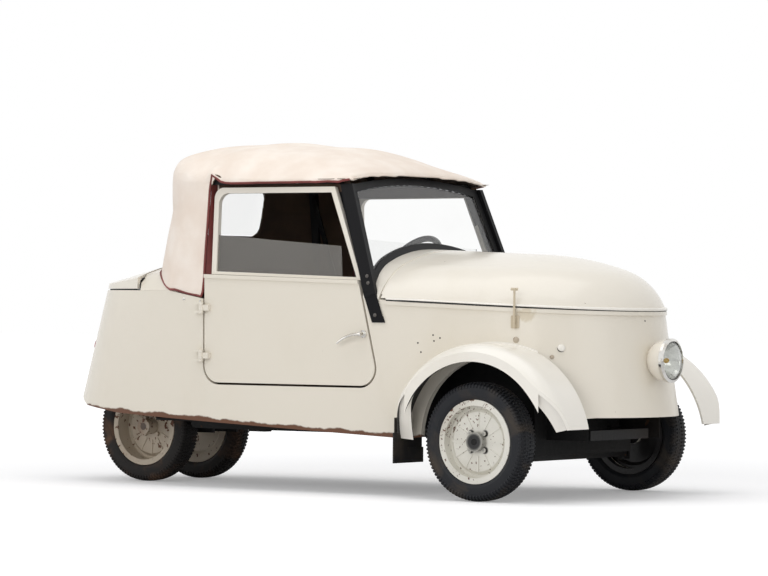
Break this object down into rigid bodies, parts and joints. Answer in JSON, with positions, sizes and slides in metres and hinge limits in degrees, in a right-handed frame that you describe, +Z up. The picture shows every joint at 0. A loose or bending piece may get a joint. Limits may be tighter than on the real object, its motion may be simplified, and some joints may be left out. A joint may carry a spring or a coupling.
{
  "type": "electric microcar",
  "caption": "Small enclosed electric car with a fabric top, narrow-set rear wheels, one nose headlamp, opening doors, bonnet and rear lid.",
  "frame": {"origin": "on the ground, midway between nose lamp and tail, on the centre line", "axes": "+Z up, nose towards -Y, the car's right-hand side towards -X"},
  "size_m": [1.206, 2.6101, 1.3169],
  "materials": {
    "body_paint": "worn ivory enamel, satin",
    "underbody_paint": "dull dark underseal",
    "frame_paint": "dull black chassis paint",
    "black_paint": "black enamel, semi-gloss",
    "black_rubber": "aged black rubber",
    "clear_glass": "clear, slightly dusty",
    "bright_trim": "dulled chromium plate",
    "red_plastic": "moulded red lens",
    "top_fabric": "coated cloth, pale pinkish beige",
    "seat_leather": "brown leathercloth",
    "battery_case": "moulded black case",
    "spring_steel": "oiled steel, lightly rusted",
    "motor_iron": "cast housing",
    "tyre_rubber": "black rubber",
    "black_plastic": "moulded black rim"
  },
  "bodies": {
    "root": {"body_shell": "body_paint", "floor_tub": "underbody_paint", "cowl": "body_paint", "chassis_frame": "frame_paint", "windscreen_frame": "black_rubber", "windscreen_glass": "clear_glass", "pillars": "black_paint", "fender_left": "body_paint", "fender_right": "body_paint", "mudflaps": "black_rubber", "bonnet_latches": "spring_steel", "headlamp_bowl": "body_paint", "headlamp_ring": "bright_trim", "headlamp_lens": "clear_glass", "tail_lamps": "red_plastic", "soft_top": "top_fabric", "hood_bows": "frame_paint", "rear_window": "clear_glass", "seat_cushion": "seat_leather", "seat_backrest": "seat_leather", "battery_pack": "battery_case", "front_axle": "frame_paint", "rear_arm": "frame_paint", "drive_motor": "motor_iron", "steering_column": "black_paint"},
    "door_left": {"door_left": "body_paint", "door_frame_left": "body_paint", "door_glass_left": "clear_glass", "door_handle_left": "bright_trim"},
    "door_right": {"door_right": "body_paint", "door_frame_right": "body_paint", "door_glass_right": "clear_glass", "door_handle_right": "bright_trim"},
    "bonnet": {"bonnet": "body_paint"},
    "deck_lid": {"deck_lid": "body_paint"},
    "knuckle_left": {"knuckle_left": "frame_paint"},
    "knuckle_right": {"knuckle_right": "frame_paint"},
    "wheel_front_left": {"wheel_front_left": "body_paint", "tyre_front_left": "tyre_rubber"},
    "wheel_front_right": {"wheel_front_right": "body_paint", "tyre_front_right": "tyre_rubber"},
    "rear_axle": {"rear_axle": "spring_steel", "wheels_rear": "body_paint", "tyres_rear": "tyre_rubber"},
    "steering_wheel": {"steering_wheel": "black_plastic"}
  },
  "joints": [
    {"name": "door_left_hinge", "type": "hinge", "parent": "root", "child": "door_left", "pos_m": [0.503, 0.459, 0.62], "axis": [0, 0, 1], "range_deg": [0, 75]},
    {"name": "door_right_hinge", "type": "hinge", "parent": "root", "child": "door_right", "pos_m": [-0.503, 0.459, 0.62], "axis": [0, 0, -1], "range_deg": [0, 75]},
    {"name": "bonnet_hinge", "type": "hinge", "parent": "root", "child": "bonnet", "pos_m": [0, -0.354, 0.907], "axis": [-1, 0, 0], "range_deg": [0, 60]},
    {"name": "deck_lid_hinge", "type": "hinge", "parent": "root", "child": "deck_lid", "pos_m": [0, 0.829, 0.862], "axis": [1, 0, 0], "range_deg": [0, 65]},
    {"name": "steer_right", "type": "hinge", "parent": "root", "child": "knuckle_right", "pos_m": [-0.44, -0.82, 0.213], "axis": [0, 0, 1], "range_deg": [-30, 30]},
    {"name": "steer_left", "type": "hinge", "parent": "root", "child": "knuckle_left", "pos_m": [0.44, -0.82, 0.213], "axis": [0, 0, 1], "range_deg": [-30, 30]},
    {"name": "steering_wheel_turn", "type": "hinge", "parent": "root", "child": "steering_wheel", "pos_m": [0.25, 0.038, 0.814], "axis": [0, 0.8192, 0.5736], "range_deg": [-240, 240]},
    {"name": "roll_front_right", "type": "hinge", "parent": "knuckle_right", "child": "wheel_front_right", "pos_m": [-0.5225, -0.82, 0.213], "axis": [1, 0, 0], "continuous": true},
    {"name": "roll_front_left", "type": "hinge", "parent": "knuckle_left", "child": "wheel_front_left", "pos_m": [0.5225, -0.82, 0.213], "axis": [1, 0, 0], "continuous": true},
    {"name": "roll_rear", "type": "hinge", "parent": "root", "child": "rear_axle", "pos_m": [0, 0.97, 0.213], "axis": [1, 0, 0], "continuous": true}
  ],
  "couplings": [
    {"joint": "steer_left", "follows": "steer_right", "ratio": 1},
    {"joint": "steering_wheel_turn", "follows": "steer_right", "ratio": 8}
  ]
}
